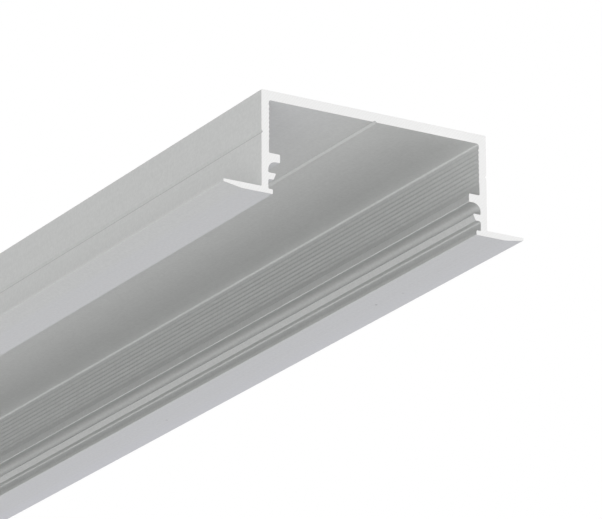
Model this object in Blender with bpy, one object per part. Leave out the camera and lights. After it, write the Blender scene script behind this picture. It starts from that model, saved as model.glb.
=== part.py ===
"""An aluminium profile for LED strips, to be let into a ceiling or a cupboard floor.

One extrusion: a web that the strip is stuck under, two side walls, and a thin flange on each side that
covers the edge of the cut-out. Each wall has a band of fine teeth inside, and below it two ribs and a
lip that hold a snap-in cover. X runs across the profile, Y along it, and Z up from the flanges'
undersides, with the open side down, as it is installed.
"""

import math

import bmesh
import bpy

MM = 0.001

# Overall sizes, in millimetres
LENGTH = 500.0
BODY_WIDTH = 33.0
BODY_HEIGHT = 13.65

# Walls
WEB_THICKNESS = 1.29
WALL_THICKNESS = 1.05
GROOVE_WALL_THICKNESS = 0.95

# Trim flanges: flat for most of their width, then bevelled up to a thin tip
FLANGE_REACH = 5.45
FLANGE_THICKNESS = 0.80
FLANGE_TIP_THICKNESS = 0.36
FLANGE_BEVEL_WIDTH = 2.65

# Lip, ribs and the two grooves between them, from the opening upwards
LIP_REACH = 0.55
LIP_THICKNESS = 0.62
LOWER_GROOVE_HEIGHT = 1.29
LOWER_RIB_REACH = 1.03
LOWER_RIB_THICKNESS = 0.87
LOWER_RIB_LEAD_IN = 0.38
UPPER_GROOVE_HEIGHT = 1.49
UPPER_GROOVE_RADIUS = 1.10
UPPER_RIB_REACH = 1.60
UPPER_RIB_THICKNESS = 1.11

# Band of fine teeth inside each wall
TOOTH_PITCH = 0.60
TOOTH_DEPTH = 0.08
PLAIN_WALL_BELOW_TEETH = 1.60
PLAIN_WALL_ABOVE_TEETH = 0.58

# Marking grooves: one along the middle of the strip's bed, and one along the outside of each wall,
# with a long upper side and a steep lower one that a spring can hook on
BED_GROOVE_WIDTH = 0.70
BED_GROOVE_DEPTH = 0.21
WALL_NOTCH_WIDTH = 0.50
WALL_NOTCH_DEPTH = 0.20
WALL_NOTCH_LOWER_SIDE = 0.12
WALL_NOTCH_BELOW_TOP = 5.82

# Radii that the die leaves on edges and in corners
EDGE_RADIUS = 0.12
CORNER_RADIUS = 0.25
BED_CORNER_RADIUS = 0.30
RIB_ROOT_RADIUS = 0.15
NOTCH_EDGE_RADIUS = 0.04
BEVEL_START_RADIUS = 4.0

# Facets
ARC_STEP = math.radians(15)
POINTS_PER_TOOTH = 6

SMOOTH_ANGLE = math.radians(30)
TINY = 1e-6


def clear_scene():
    for thing in list(bpy.data.objects):
        bpy.data.objects.remove(thing)


def anodised_aluminium():
    """Satin anodised aluminium: pale grey metal with a soft, wide highlight."""
    material = bpy.data.materials.new("anodised_aluminium")
    material.use_nodes = True
    shader = material.node_tree.nodes["Principled BSDF"]
    shader.inputs["Base Color"].default_value = (0.72, 0.73, 0.73, 1.0)
    shader.inputs["Metallic"].default_value = 1.0
    shader.inputs["Roughness"].default_value = 0.42
    return material


def outer_corners():
    """The right wall's outer side and the flange, from the top edge down: (x, z, radius) for each corner."""
    wall = BODY_WIDTH / 2
    notch_foot = BODY_HEIGHT - WALL_NOTCH_BELOW_TOP
    tip = wall + FLANGE_REACH
    return [
        (wall, BODY_HEIGHT, EDGE_RADIUS),
        (wall, notch_foot + WALL_NOTCH_WIDTH, NOTCH_EDGE_RADIUS),
        (wall - WALL_NOTCH_DEPTH, notch_foot + WALL_NOTCH_LOWER_SIDE, NOTCH_EDGE_RADIUS),
        (wall, notch_foot, NOTCH_EDGE_RADIUS),
        (wall, FLANGE_THICKNESS, EDGE_RADIUS),
        (tip, FLANGE_THICKNESS, EDGE_RADIUS),
        (tip, FLANGE_THICKNESS - FLANGE_TIP_THICKNESS, EDGE_RADIUS),
        (tip - FLANGE_BEVEL_WIDTH, 0.0, BEVEL_START_RADIUS),
    ]


def snap_corners():
    """The lip, the two ribs and their grooves on the right wall, from the opening up to the upper rib's root."""
    wall = BODY_WIDTH / 2
    face = wall - WALL_THICKNESS
    groove = wall - GROOVE_WALL_THICKNESS
    lip_tip = face - LIP_REACH
    lower_tip = face - LOWER_RIB_REACH
    upper_tip = face - UPPER_RIB_REACH
    lower_rib_under = LIP_THICKNESS + LOWER_GROOVE_HEIGHT
    lower_rib_top = lower_rib_under + LOWER_RIB_THICKNESS
    upper_rib_under = lower_rib_top + UPPER_GROOVE_HEIGHT
    upper_rib_top = upper_rib_under + UPPER_RIB_THICKNESS
    return [
        (lip_tip, 0.0, EDGE_RADIUS),
        (lip_tip, LIP_THICKNESS, EDGE_RADIUS),
        (groove, LIP_THICKNESS, RIB_ROOT_RADIUS),
        (groove, lower_rib_under, CORNER_RADIUS),
        (lower_tip + LOWER_RIB_LEAD_IN, lower_rib_under, EDGE_RADIUS),
        (lower_tip, lower_rib_top, EDGE_RADIUS),
        (groove, lower_rib_top, RIB_ROOT_RADIUS),
        (groove, upper_rib_under, UPPER_GROOVE_RADIUS),
        (upper_tip, upper_rib_under, EDGE_RADIUS),
        (upper_tip, upper_rib_top, EDGE_RADIUS),
        (face, upper_rib_top, RIB_ROOT_RADIUS),
    ]


def tooth_points(bottom, top):
    """A wave of rounded teeth up the right wall's inner face, as many as fit between the two heights."""
    face = BODY_WIDTH / 2 - WALL_THICKNESS
    count = math.floor((top - bottom) / TOOTH_PITCH + TINY)
    points = []
    for step in range(count * POINTS_PER_TOOTH + 1):
        turn = step / POINTS_PER_TOOTH
        rise = TOOTH_DEPTH / 2 * (1 - math.cos(2 * math.pi * turn))
        points.append((face - rise, bottom + turn * TOOTH_PITCH, 0.0))
    return points


def bed_corners():
    """The strip's bed under the web, from the right inner corner to the middle of its groove."""
    bed = BODY_HEIGHT - WEB_THICKNESS
    return [
        (BODY_WIDTH / 2 - WALL_THICKNESS, bed, BED_CORNER_RADIUS),
        (BED_GROOVE_WIDTH / 2, bed, NOTCH_EDGE_RADIUS),
    ]


def section_corners():
    """All corners of the section in order, with the left half as the mirror image of the right."""
    snap = snap_corners()
    bed = bed_corners()
    rib_top = snap[-1][1]
    teeth = tooth_points(rib_top + PLAIN_WALL_BELOW_TEETH, bed[0][1] - PLAIN_WALL_ABOVE_TEETH)
    right = outer_corners() + snap + teeth + bed
    groove_bottom = (0.0, bed[0][1] + BED_GROOVE_DEPTH, NOTCH_EDGE_RADIUS)
    left = [(-x, z, radius) for x, z, radius in reversed(right)]
    return right + [groove_bottom] + left


def tangent_lengths(corners):
    """How far each corner's arc reaches along its sides, cut down where two arcs would meet on one side."""
    count = len(corners)
    turns, reaches, sides = [], [], []
    for i, (x, z, radius) in enumerate(corners):
        x0, z0, _ = corners[i - 1]
        x1, z1, _ = corners[(i + 1) % count]
        turn = math.atan2(z1 - z, x1 - x) - math.atan2(z - z0, x - x0)
        turn = (turn + math.pi) % (2 * math.pi) - math.pi
        turns.append(turn)
        reaches.append(radius * abs(math.tan(turn / 2)))
        sides.append(math.hypot(x1 - x, z1 - z))
    shares = [min(1.0, sides[i] / max(reaches[i] + reaches[(i + 1) % count], TINY)) for i in range(count)]
    fitted = [reaches[i] * min(shares[i - 1], shares[i]) for i in range(count)]
    return turns, fitted


def rounded(corners):
    """The closed outline of the corners, as (x, z) points, with an arc in place of each corner that has a radius."""
    turns, reaches = tangent_lengths(corners)
    count = len(corners)
    outline = []
    for i, (x, z, _) in enumerate(corners):
        if reaches[i] < TINY:
            outline.append((x, z))
            continue
        x0, z0, _ = corners[i - 1]
        x1, z1, _ = corners[(i + 1) % count]
        heading = math.atan2(z - z0, x - x0)
        radius = reaches[i] / abs(math.tan(turns[i] / 2))
        side = math.copysign(1.0, turns[i])
        start_x = x - reaches[i] * math.cos(heading)
        start_z = z - reaches[i] * math.sin(heading)
        centre_x = start_x - side * radius * math.sin(heading)
        centre_z = start_z + side * radius * math.cos(heading)
        steps = max(2, math.ceil(abs(turns[i]) / ARC_STEP))
        for step in range(steps + 1):
            angle = heading - side * math.pi / 2 + turns[i] * step / steps
            outline.append((centre_x + radius * math.cos(angle), centre_z + radius * math.sin(angle)))
    return outline


def extruded(name, outline, length, material):
    """A solid with the outline as its section, sawn square at both ends and centred on Y."""
    shape = bmesh.new()
    near = [shape.verts.new((x * MM, -length / 2 * MM, z * MM)) for x, z in outline]
    end = shape.faces.new(near)
    pushed = bmesh.ops.extrude_face_region(shape, geom=[end])["geom"]
    far = [part for part in pushed if isinstance(part, bmesh.types.BMVert)]
    bmesh.ops.translate(shape, verts=far, vec=(0, length * MM, 0))
    bmesh.ops.recalc_face_normals(shape, faces=shape.faces)
    mesh = bpy.data.meshes.new(name)
    shape.to_mesh(mesh)
    shape.free()
    mesh.shade_smooth()
    mesh.set_sharp_from_angle(angle=SMOOTH_ANGLE)
    mesh.materials.append(material)
    solid = bpy.data.objects.new(name, mesh)
    bpy.context.scene.collection.objects.link(solid)
    return solid


clear_scene()
extruded("profile", rounded(section_corners()), LENGTH, anodised_aluminium())
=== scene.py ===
# %% [markdown]
# # An aluminium profile for LED strips, dressed for a studio picture
#
# The object is one extrusion: hot aluminium is pressed through a steel die, and a long bar comes out with
# the die's outline as its section. The bar is then anodised, which gives it a fine satin skin, and sawn
# to length, which leaves bare bright metal at both ends.
#
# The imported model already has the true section, so this script doesn't change the shape. It gives the
# surfaces their finish, and sets up the floor, the light and the camera.

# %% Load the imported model
import math

import bmesh
import bpy
from mathutils import Matrix, Vector


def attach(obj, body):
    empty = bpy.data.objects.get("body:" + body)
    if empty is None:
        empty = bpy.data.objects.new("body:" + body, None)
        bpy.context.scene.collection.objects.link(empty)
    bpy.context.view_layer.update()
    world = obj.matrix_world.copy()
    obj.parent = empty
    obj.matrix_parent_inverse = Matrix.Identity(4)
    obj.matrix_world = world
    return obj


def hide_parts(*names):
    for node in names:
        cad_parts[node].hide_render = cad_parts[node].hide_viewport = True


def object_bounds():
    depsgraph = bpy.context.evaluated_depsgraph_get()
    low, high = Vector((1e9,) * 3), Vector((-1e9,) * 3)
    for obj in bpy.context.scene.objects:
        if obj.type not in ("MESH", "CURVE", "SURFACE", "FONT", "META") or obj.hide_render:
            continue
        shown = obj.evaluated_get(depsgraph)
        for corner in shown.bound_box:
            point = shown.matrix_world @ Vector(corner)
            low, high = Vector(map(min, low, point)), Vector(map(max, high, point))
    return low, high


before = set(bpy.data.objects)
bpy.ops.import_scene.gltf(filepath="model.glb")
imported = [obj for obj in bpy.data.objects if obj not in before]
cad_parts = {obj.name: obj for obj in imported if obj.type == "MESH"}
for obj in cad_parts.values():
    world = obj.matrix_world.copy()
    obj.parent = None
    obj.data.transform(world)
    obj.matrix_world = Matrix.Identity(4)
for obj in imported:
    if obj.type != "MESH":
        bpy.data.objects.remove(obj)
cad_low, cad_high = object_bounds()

MM = 0.001
size = (cad_high - cad_low) / MM
print(f"the profile is {size.x:.1f} mm wide, {size.y:.0f} mm long and {size.z:.2f} mm high")

# %% [markdown]
# ## A clean copy of the extrusion
#
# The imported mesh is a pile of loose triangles, which is fine for a computer but awkward to finish: a
# sharp edge can only be told from a round one where faces share their edges. We could draw the section
# again and extrude it, but then two places would hold the same sizes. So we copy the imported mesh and
# clean it: remove_doubles welds the corners, and dissolve_limit joins triangles that lie in one plane
# into long strips, which is how an extrusion is best kept.

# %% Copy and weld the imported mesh
WELD_DISTANCE = 0.001 * MM
FLAT_WITHIN = math.radians(0.2)

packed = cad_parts["profile"]
shape = bmesh.new()
shape.from_mesh(packed.data)
loose_count = len(shape.verts)
bmesh.ops.remove_doubles(shape, verts=shape.verts, dist=WELD_DISTANCE)
bmesh.ops.dissolve_limit(shape, angle_limit=FLAT_WITHIN, verts=shape.verts, edges=shape.edges)
print(f"{loose_count} loose corners became {len(shape.verts)}, in {len(shape.faces)} faces")

# %% [markdown]
# ## Two finishes on one piece
#
# The long faces are anodised, and the two ends are sawn metal. Both belong to one piece of metal, so
# they stay one mesh with two material slots. A face belongs to an end when its normal points along the
# bar, which is Y here.

# %% Mark the sawn ends
SATIN, SAWN = 0, 1
END_FACING = 0.9

for face in shape.faces:
    face.material_index = SAWN if abs(face.normal.y) > END_FACING else SATIN
print(sum(face.material_index == SAWN for face in shape.faces), "sawn end faces")

# %% [markdown]
# ## Smooth arcs beside flat faces
#
# Smooth shading rounds off the small arcs that the die leaves on each edge, and a sharp mark keeps the
# real corners crisp: edges that turn more than the angle stay sharp. Smooth shading alone would also bend
# the light on the wide flat faces beside each arc, as if they were pillows. A Weighted Normal modifier
# lets the large faces decide, so that only the arcs look round.

# %% Make the finished piece
SMOOTH_BELOW = math.radians(35)

mesh = bpy.data.meshes.new("anodised_profile")
shape.to_mesh(mesh)
shape.free()
mesh.shade_smooth()
mesh.set_sharp_from_angle(angle=SMOOTH_BELOW)
profile = bpy.data.objects.new("anodised_profile", mesh)
bpy.context.scene.collection.objects.link(profile)
flat_faces_win = profile.modifiers.new("flat_faces_win", "WEIGHTED_NORMAL")
flat_faces_win.mode = "FACE_AREA"
flat_faces_win.weight = 100
flat_faces_win.keep_sharp = True
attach(profile, "root")
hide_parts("profile")
sharp_edges = sum(flag.value for flag in mesh.attributes["sharp_edge"].data)
print(f"{len(mesh.polygons)} faces, with {sharp_edges} sharp edges of {len(mesh.edges)}")

# %% [markdown]
# ## Helpers for materials
#
# Colours are easiest to pick as the hex values of a picture editor, which are in sRGB. Blender's shaders
# work in linear light, so one function turns the one into the other. A second one adds a node, sets its
# values and links its inputs. The others make what several materials need: a value moved into another
# range, two values joined into one, and a colour between two.

# %% Colour and node helpers
def linear(hex_colour):
    """An sRGB hex colour, such as "C0C2C1", as the linear RGBA that shaders expect."""
    channels = [int(hex_colour[i : i + 2], 16) / 255 for i in (0, 2, 4)]
    return [c / 12.92 if c <= 0.04045 else ((c + 0.055) / 1.055) ** 2.4 for c in channels] + [1.0]


def add_node(tree, kind, settings=None, links=None, values=None):
    """Adds a node: settings are its own options, values go on its inputs, links feed its inputs."""
    node = tree.nodes.new(kind)
    for name, value in (settings or {}).items():
        setattr(node, name, value)
    for name, value in (values or {}).items():
        node.inputs[name].default_value = value
    for name, output in (links or {}).items():
        tree.links.new(output, node.inputs[name])
    return node


def ranged(tree, value, from_min, from_max, to_min=0.0, to_max=1.0):
    """The value, moved from one range to another and held within it."""
    ranges = {"From Min": from_min, "From Max": from_max, "To Min": to_min, "To Max": to_max}
    return add_node(tree, "ShaderNodeMapRange", None, {"Value": value}, ranges).outputs["Result"]


def joined(tree, operation, first, second):
    """One value from two, by an operation such as MULTIPLY or MAXIMUM."""
    return add_node(tree, "ShaderNodeMath", {"operation": operation}, {0: first, 1: second}).outputs[0]


# A Mix node has inputs for several kinds of data, and these are its colour ones.
MIX_FIRST, MIX_SECOND, MIX_RESULT = 6, 7, 2


def between(tree, factor, first, second):
    """A colour between two hex ones, chosen by a factor from 0 to 1."""
    colours = {MIX_FIRST: linear(first), MIX_SECOND: linear(second)}
    mix = add_node(tree, "ShaderNodeMix", {"data_type": "RGBA"}, {"Factor": factor}, colours)
    return mix.outputs[MIX_RESULT]


def new_material(name):
    """An empty node material with its output, ready for a shader."""
    material = bpy.data.materials.new(name)
    material.use_nodes = True
    material.node_tree.nodes.clear()
    output = material.node_tree.nodes.new("ShaderNodeOutputMaterial")
    return material, material.node_tree, output


print(f"the middle grey 808080 is {linear('808080')[0]:.3f} in linear light")

# %% [markdown]
# ## Satin anodised aluminium
#
# Before anodising, the bar is etched in caustic soda, which roughens the metal evenly, and the bath then
# grows a thin, slightly milky oxide layer. The eye gets a pale grey with a wide, soft sheen and hardly any
# mirror image. A metal under a milky layer scatters part of its light the way chalk does, so Metallic
# stays below 1 here, and the roughness is near the middle.
#
# Two fine patterns keep the surface from looking like plastic. The die leaves faint lines that run along
# the whole bar: noise that is stretched along Y gives them on every face, because the bar is straight.
# The etch leaves a grain of a few hundredths of a millimetre, which is too fine to show in the picture,
# so it is drawn about 0.4 mm wide. Both go into the colour, the roughness and the bump, each by a very
# small amount.

# %% Scales of the extrusion's two patterns
DIE_LINE_SPACING = 0.35 * MM
DIE_LINE_LENGTH = 300.0 * MM
ETCH_GRAIN = 0.38 * MM
RELIEF = 0.002 * MM


def relief(tree, height):
    """A very slight bump that follows a height from 0 to 1."""
    depth = {"Strength": 1.0, "Distance": RELIEF}
    return add_node(tree, "ShaderNodeBump", None, {"Height": height}, depth).outputs["Normal"]


def extrusion_patterns(tree):
    """The die lines and the etched grain, as two values from 0 to 1 over the surface."""
    place = add_node(tree, "ShaderNodeTexCoord").outputs["Object"]
    stretched = add_node(
        tree,
        "ShaderNodeMapping",
        links={"Vector": place},
        values={"Scale": (1 / DIE_LINE_SPACING, 1 / DIE_LINE_LENGTH, 1 / DIE_LINE_SPACING)},
    )
    lines = add_node(
        tree,
        "ShaderNodeTexNoise",
        links={"Vector": stretched.outputs["Vector"]},
        values={"Scale": 1.0, "Detail": 3.0, "Roughness": 0.6},
    )
    grain = add_node(
        tree,
        "ShaderNodeTexNoise",
        links={"Vector": place},
        values={"Scale": 1 / ETCH_GRAIN, "Detail": 2.0, "Roughness": 0.5},
    )
    return lines.outputs["Fac"], grain.outputs["Fac"]


print(f"die lines {DIE_LINE_SPACING / MM:.2f} mm apart, grain {ETCH_GRAIN / MM:.2f} mm wide")

# %% [markdown]
# ### Painted shade in the wall's groove
#
# Each wall has a fine groove along its outside. A thin line at its bottom is painted darker: painted
# shade, where the groove's own shadow falls. We find it by distance: with both sides folded onto one and
# the length left out, every point gets its distance from the line where the groove is deepest. A Map
# Range turns the distance into a tone.

# %% Distance from the groove's bottom
GROOVE_BOTTOM = Vector((16.3, 0.0, 7.95)) * MM
# Painted shade: the tone of the groove's shadow, painted into the colour at its bottom.
GROOVE_SHADE_TONE = 0.75
LINE_CORE, LINE_EDGE = 0.05 * MM, 0.11 * MM
WITHOUT_LENGTH = (1.0, 0.0, 1.0)


def tone_near(tree, point, place, core, edge, tone):
    """The tone within the core's distance of a place, and 1 beyond the edge's."""
    distance = add_node(tree, "ShaderNodeVectorMath", {"operation": "DISTANCE"}, {0: point}, {1: place})
    return ranged(tree, distance.outputs["Value"], core, edge, tone, 1.0)


def painted_groove_shade(tree):
    """1 on the plain surface, down to the painted shade's tone at the bottom of the groove."""
    place = add_node(tree, "ShaderNodeTexCoord").outputs["Object"]
    folded = add_node(tree, "ShaderNodeVectorMath", {"operation": "ABSOLUTE"}, {0: place})
    across = add_node(
        tree,
        "ShaderNodeVectorMath",
        settings={"operation": "MULTIPLY"},
        links={0: folded.outputs["Vector"]},
        values={1: WITHOUT_LENGTH},
    )
    return tone_near(tree, across.outputs["Vector"], GROOVE_BOTTOM, LINE_CORE, LINE_EDGE, GROOVE_SHADE_TONE)


print(f"the groove's dark line is {2 * LINE_EDGE / MM:.2f} mm wide")

# %% [markdown]
# ### Specks of dust
#
# A bar that has been handled is never quite clean. Three specks of dust lie on the underside of one
# flange, each about a third of a millimetre wide. A speck is a distance from a point, so the same
# helper makes them, and one after the other they are multiplied into the tone.

# %% Specks on a flange
NEAR_END = Vector((0.0, cad_low.y, 0.0))
SPECKS = {(18.0, 29.4): 0.55, (18.3, 86.0): 0.70, (18.6, 23.7): 0.78}
SPECK_CORE, SPECK_EDGE = 0.08 * MM, 0.23 * MM


def with_specks(tree, tone):
    """The tone, darkened at each speck: places are across and along the bar, from the near end."""
    point = add_node(tree, "ShaderNodeTexCoord").outputs["Object"]
    for (across, along), speck_tone in SPECKS.items():
        place = NEAR_END + Vector((across, along, 0.0)) * MM
        speck = tone_near(tree, point, place, SPECK_CORE, SPECK_EDGE, speck_tone)
        tone = joined(tree, "MULTIPLY", tone, speck)
    return tone


print(len(SPECKS), "specks on the right flange")

# %% [markdown]
# ### The satin material
#
# The lines count half as much as the grain. Together they choose between two close greys, which the
# painted shade in the groove and the specks darken, and they set the roughness and a slight bump.

# %% Satin anodised aluminium
LINES_SHARE = 0.5
PATTERN_LOW, PATTERN_HIGH = 0.45, 1.05
ROUGHNESS_LOW, ROUGHNESS_HIGH = 0.46, 0.54


def satin_anodised_aluminium():
    material, tree, output = new_material("satin_anodised_aluminium")
    lines, grain = extrusion_patterns(tree)
    pattern = add_node(
        tree,
        "ShaderNodeMath",
        settings={"operation": "MULTIPLY_ADD"},
        links={0: lines, 2: grain},
        values={1: LINES_SHARE},
    ).outputs[0]
    shade = ranged(tree, pattern, PATTERN_LOW, PATTERN_HIGH)
    # The colour is darkened by the painted shade at the groove's bottom and by the dust specks.
    marked = add_node(
        tree,
        "ShaderNodeVectorMath",
        settings={"operation": "SCALE"},
        links={0: between(tree, shade, "CACBCA", "D5D6D5"), "Scale": with_specks(tree, painted_groove_shade(tree))},
    )
    shader = add_node(
        tree,
        "ShaderNodeBsdfPrincipled",
        links={
            "Base Color": marked.outputs["Vector"],
            "Roughness": ranged(tree, pattern, PATTERN_LOW, PATTERN_HIGH, ROUGHNESS_LOW, ROUGHNESS_HIGH),
            "Normal": relief(tree, pattern),
        },
        values={"Metallic": 0.5},
    )
    tree.links.new(shader.outputs["BSDF"], output.inputs["Surface"])
    return material


# %% [markdown]
# ## Bright sawn aluminium
#
# The bar is cut after anodising, so the ends are bare metal: almost white, and a little rough from the
# saw. A circular blade leaves marks that are arcs about its own axle, so the pattern is a set of rings
# about a point where the axle was, well to one side of the bar. Real marks are a tenth of a millimetre
# apart. They are drawn three times as wide, so that they can be seen.

# %% Bright sawn aluminium
SAW_AXLE = (0.12, 0.0, -0.09)
SAW_MARK_SPACING = 0.3 * MM
# A wave texture whose scale is 1 repeats after this distance.
WAVE_PERIOD = 2 * math.pi / 20


def sawn_aluminium():
    material, tree, output = new_material("sawn_aluminium")
    place = add_node(tree, "ShaderNodeTexCoord").outputs["Object"]
    to_axle = {"Location": [-part for part in SAW_AXLE]}
    about_axle = add_node(tree, "ShaderNodeMapping", None, {"Vector": place}, to_axle)
    scale = WAVE_PERIOD / SAW_MARK_SPACING
    marks = add_node(
        tree,
        "ShaderNodeTexWave",
        settings={"wave_type": "RINGS", "rings_direction": "Y"},
        links={"Vector": about_axle.outputs["Vector"]},
        values={"Scale": scale, "Distortion": 6.0, "Detail": 3.0, "Detail Scale": 1.5},
    ).outputs["Fac"]
    shader = add_node(
        tree,
        "ShaderNodeBsdfPrincipled",
        links={"Base Color": between(tree, marks, "EEEEED", "F2F2F2"), "Normal": relief(tree, marks)},
        values={"Metallic": 0.9, "Roughness": 0.4},
    )
    tree.links.new(shader.outputs["BSDF"], output.inputs["Surface"])
    return material


# %% Put the two finishes on the profile
profile.data.materials.append(satin_anodised_aluminium())
profile.data.materials.append(sawn_aluminium())
print("finishes:", ", ".join(slot.name for slot in profile.data.materials))

# %% [markdown]
# ## The floor
#
# The profile lies on a plain pale floor with its open side down, and the floor shows its shadow. The
# picture, though, is taken from below, as the profile is seen in a ceiling. So the floor is only there
# for a camera above it: its underside is see-through, and it neither blocks light nor shows in the
# metal. It sits a hair below the flanges, so that the two surfaces don't fight for the same place.

# %% Pale floor
FLOOR_HALF_WIDTH = 12.0
FLOOR_GAP = 0.05 * MM

sheet = bmesh.new()
bmesh.ops.create_grid(sheet, x_segments=1, y_segments=1, size=FLOOR_HALF_WIDTH)
bmesh.ops.translate(sheet, verts=sheet.verts, vec=(0.0, 0.0, cad_low.z - FLOOR_GAP))
floor_mesh = bpy.data.meshes.new("pale_floor")
sheet.to_mesh(floor_mesh)
sheet.free()
pale_floor = bpy.data.objects.new("pale_floor", floor_mesh)
bpy.context.scene.collection.objects.link(pale_floor)
for rays in ("diffuse", "glossy", "transmission", "shadow"):
    setattr(pale_floor, f"visible_{rays}", False)
print(f"the floor is {2 * FLOOR_HALF_WIDTH:.0f} m wide and lies {FLOOR_GAP / MM:.2f} mm below the profile")

# %% [markdown]
# ### The floor's finish
#
# A floor with a hard edge would draw a line across the background. This one fades out with the distance
# from the profile, so that it runs into the white surroundings like a paper sweep in a studio. A little
# emission keeps it pale where the lamps don't reach, and only the camera sees that.

# %% Matt pale finish
FADE_FROM, FADE_TO = 0.5, 5.0
FLOOR_LIFT = 0.40


def matt_pale_floor():
    material, tree, output = new_material("matt_pale_floor")
    colour = {"Color": linear("F4F4F2")}
    matt = add_node(tree, "ShaderNodeBsdfDiffuse", values=colour)
    lift = add_node(tree, "ShaderNodeEmission", values={**colour, "Strength": FLOOR_LIFT})
    pale = add_node(tree, "ShaderNodeAddShader", links={0: matt.outputs[0], 1: lift.outputs[0]})
    clear = add_node(tree, "ShaderNodeBsdfTransparent")
    place = add_node(tree, "ShaderNodeTexCoord").outputs["Object"]
    distance = add_node(tree, "ShaderNodeVectorMath", {"operation": "LENGTH"}, {0: place})
    fade = ranged(tree, distance.outputs["Value"], FADE_FROM, FADE_TO)
    below = add_node(tree, "ShaderNodeNewGeometry").outputs["Backfacing"]
    unseen = joined(tree, "MAXIMUM", fade, below)
    sources = {0: unseen, 1: pale.outputs[0], 2: clear.outputs[0]}
    look = add_node(tree, "ShaderNodeMixShader", links=sources)
    tree.links.new(look.outputs[0], output.inputs["Surface"])
    return material


floor_mesh.materials.append(matt_pale_floor())
print(f"the floor fades out between {FADE_FROM} and {FADE_TO} m from the profile")

# %% [markdown]
# ## Studio light
#
# The surroundings are plain white, and the metal reflects that white. For matt surfaces they count for
# less, so that the lamps shape the object: Light Path tells which kind of ray asks.

# %% White surroundings
AMBIENT = 0.27

world = bpy.data.worlds.new("white_studio")
bpy.context.scene.world = world
world.use_nodes = True
tree = world.node_tree
tree.nodes.clear()
path = add_node(tree, "ShaderNodeLightPath").outputs
seen_or_mirrored = joined(tree, "MAXIMUM", path["Is Camera Ray"], path["Is Glossy Ray"])
fully_white = joined(tree, "MAXIMUM", seen_or_mirrored, path["Is Transmission Ray"])
level = ranged(tree, fully_white, 0.0, 1.0, AMBIENT, 1.0)
white = add_node(tree, "ShaderNodeBackground", None, {"Strength": level}, {"Color": linear("FFFFFF")})
add_node(tree, "ShaderNodeOutputWorld", links={"Surface": white.outputs["Background"]})
print(f"matt surfaces get {AMBIENT:.0%} of the white that the camera sees")

# %% [markdown]
# ### The lamps
#
# A large soft lamp stands beside the camera, below and to the left, so it reaches the inside of the
# channel as well as the camera sees it. Its mirror image would come on top of the white surroundings
# and burn the sawn end out to bare white, so it is kept out of reflections.
#
# Weaker lamps do what white and coloured cards do in a studio. One is level with the bar: it lights the
# left wall near the end and slips past it into the open channel. A tiny one brightens the first few
# millimetres inside. Where the strip's bed meets the toothed wall, the corner has a soft glow in the
# photo, and a strip of very weak light along that corner gives it here. It is aimed exactly upwards, so
# that its long side lies along the bar. A lamp at the side gives the left wall some sheen, and a bluish
# one far behind tints the undersides of the flanges. A wide, high light from behind gives the top and
# the back their form, and the shadow on the floor.

# %% Lamps
OPEN_CORNER = NEAR_END + Vector((11.0, 0.0, 12.0)) * MM
INNER_CORNER = Vector((15.45, 0.0, 12.36)) * MM
STRIP_WIDTH = 0.3 * MM


def lamp(name, kind, place, aim, power, in_reflections=True, **settings):
    """A lamp at a place, turned to an aim, unseen by the camera. Its power is in watts, a sun's in W/m2."""
    data = bpy.data.lights.new(name, kind)
    data.energy = power
    for setting, value in settings.items():
        setattr(data, setting, value)
    light = bpy.data.objects.new(name, data)
    light.location = place
    light.rotation_euler = (aim - place).to_track_quat("-Z", "Y").to_euler()
    light.visible_camera = False
    light.visible_glossy = in_reflections
    bpy.context.scene.collection.objects.link(light)
    return light


beside_camera = NEAR_END + Vector((-1.4, -1.9, -1.3))
lamp("beside_camera", "AREA", beside_camera, NEAR_END, power=46, in_reflections=False, size=2.2)

level_with_bar = NEAR_END + Vector((-160, -60, 0)) * MM
before_opening = OPEN_CORNER + Vector((0.0, -2.5, -2.5)) * MM
into_opening = OPEN_CORNER + Vector((0.0, 20.0, 0.0)) * MM
along_corner = INNER_CORNER + Vector((-0.35, 0.0, -0.7)) * MM
upwards = along_corner + Vector((0.0, 0.0, 1.0))
strip = {"shape": "RECTANGLE", "size": STRIP_WIDTH, "size_y": size.y * MM}
small_lamps = [
    lamp("level_with_bar", "AREA", level_with_bar, NEAR_END, power=0.022, size=60 * MM),
    lamp("end_glow", "AREA", before_opening, into_opening, power=0.00006, size=5 * MM),
    lamp("corner_glow", "AREA", along_corner, upwards, power=0.00013, **strip),
]

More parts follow.
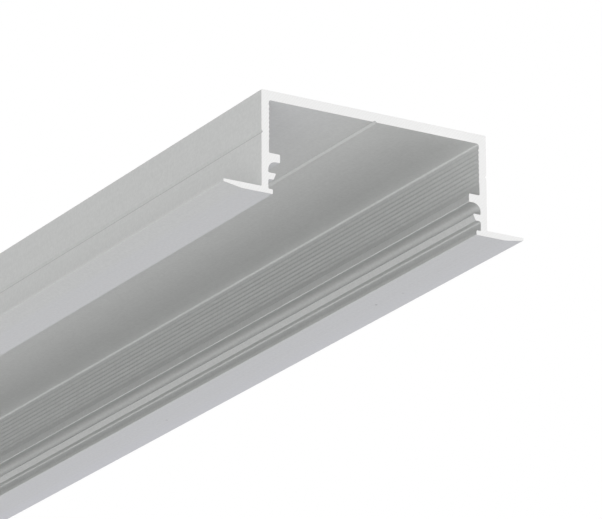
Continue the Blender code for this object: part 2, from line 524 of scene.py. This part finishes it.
left_side = NEAR_END + Vector((-0.9, 0.9, 0.7))
lamp("side_sheen", "AREA", left_side, NEAR_END, power=0.06, size=0.8)

far_behind = NEAR_END + Vector((0.75, 1.25, -0.27))
cool = linear("A8A2FF")[:3]
lamp("cool_bounce", "AREA", far_behind, NEAR_END, power=0.3, size=0.5, color=cool)

high_behind = Vector((2.2, 1.4, 2.4))
lamp("high_behind", "SUN", high_behind, Vector((0, 0, 0)), power=1.1, angle=math.radians(90))
print("lamps:", ", ".join(data.name for data in bpy.data.lights))

# %% [markdown]
# The small lamps are so close that they would make hot spots on the floor. Light linking gives a lamp a
# collection of the objects that it lights, and theirs holds the profile alone.

# %% The small lamps light the profile only
profile_only = bpy.data.collections.new("profile_only")
profile_only.objects.link(profile)
for light in small_lamps:
    light.light_linking.receiver_collection = profile_only

# %% [markdown]
# ## The camera
#
# The picture is taken with a long lens from below and to the left of the near end, so the bar runs away
# from us to the right and up. The camera stands two thirds of a metre away. It is placed from the near
# end, because that is the part that the picture shows.

# %% Camera
FILM_WIDTH = 36.0
CAMERA_FROM_END = Vector((-326.4, -530.2, -227.0)) * MM
CAMERA_AZIMUTH = math.radians(30.754)
CAMERA_ELEVATION = math.radians(19.554)
CAMERA_ROLL = math.radians(-0.323)
LENS = 317.4

camera_data = bpy.data.cameras.new("camera")
camera_data.lens = LENS
camera_data.sensor_width = FILM_WIDTH
camera_data.clip_start = 0.01
camera = bpy.data.objects.new("camera", camera_data)
bpy.context.scene.collection.objects.link(camera)
turn = (
    Matrix.Rotation(-CAMERA_AZIMUTH, 4, "Z")
    @ Matrix.Rotation(math.pi / 2 + CAMERA_ELEVATION, 4, "X")
    @ Matrix.Rotation(CAMERA_ROLL, 4, "Z")
)
camera.matrix_world = Matrix.Translation(NEAR_END + CAMERA_FROM_END) @ turn
bpy.context.scene.camera = camera
bpy.context.scene.view_settings.view_transform = "Standard"
print(f"the camera is {(camera.matrix_world.translation - NEAR_END).length / MM:.0f} mm from the near end")
